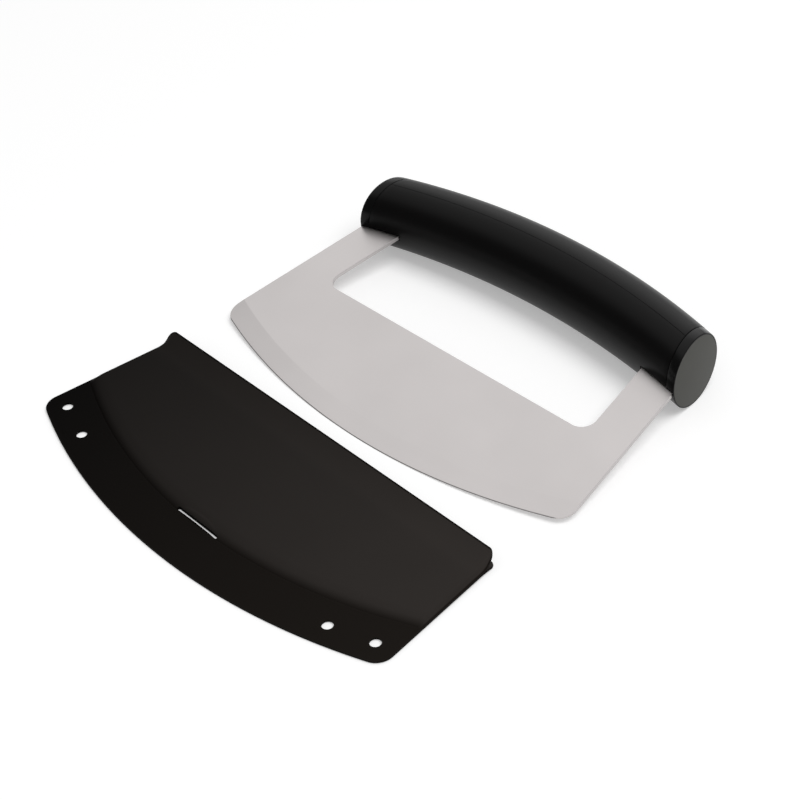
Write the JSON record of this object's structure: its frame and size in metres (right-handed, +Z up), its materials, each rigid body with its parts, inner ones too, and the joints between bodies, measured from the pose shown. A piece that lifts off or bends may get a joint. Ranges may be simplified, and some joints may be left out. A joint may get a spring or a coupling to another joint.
{
  "type": "mezzaluna",
  "caption": "Single-blade mezzaluna with an arched two-shell handle over a wide finger window, lying beside its slip-on blade guard.",
  "frame": {"origin": "under the middle of the knife and guard, on the surface they lie on", "axes": "+X along the blade to the right, +Y from the cutting edge to the handle, +Z up"},
  "size_m": [0.2138, 0.2336, 0.0344],
  "materials": {
    "blade_steel": "fine even brushing, satin",
    "pin_steel": "drawn rod",
    "handle_black": "satin moulded",
    "cap_black": "glossy moulded",
    "disc_grey": "fine matt",
    "guard_black": "semi-matt pressed sheet"
  },
  "bodies": {
    "knife": {"blade": "blade_steel", "handle_palm_shell": "handle_black", "handle_blade_shell": "handle_black", "left_end_cap": "cap_black", "right_end_cap": "cap_black", "left_end_disc": "disc_grey", "right_end_disc": "disc_grey", "left_inner_tang_pin": "pin_steel", "left_outer_tang_pin": "pin_steel", "right_inner_tang_pin": "pin_steel", "right_outer_tang_pin": "pin_steel"},
    "guard": {"guard_upper_leaf": "guard_black", "guard_lower_leaf": "guard_black"}
  },
  "joints": [
    {"name": "guard_slide", "type": "slide", "parent": "knife", "child": "guard", "axis": [-0.0291, -0.9996, 0], "range_m": [0, 0.066]}
  ]
}
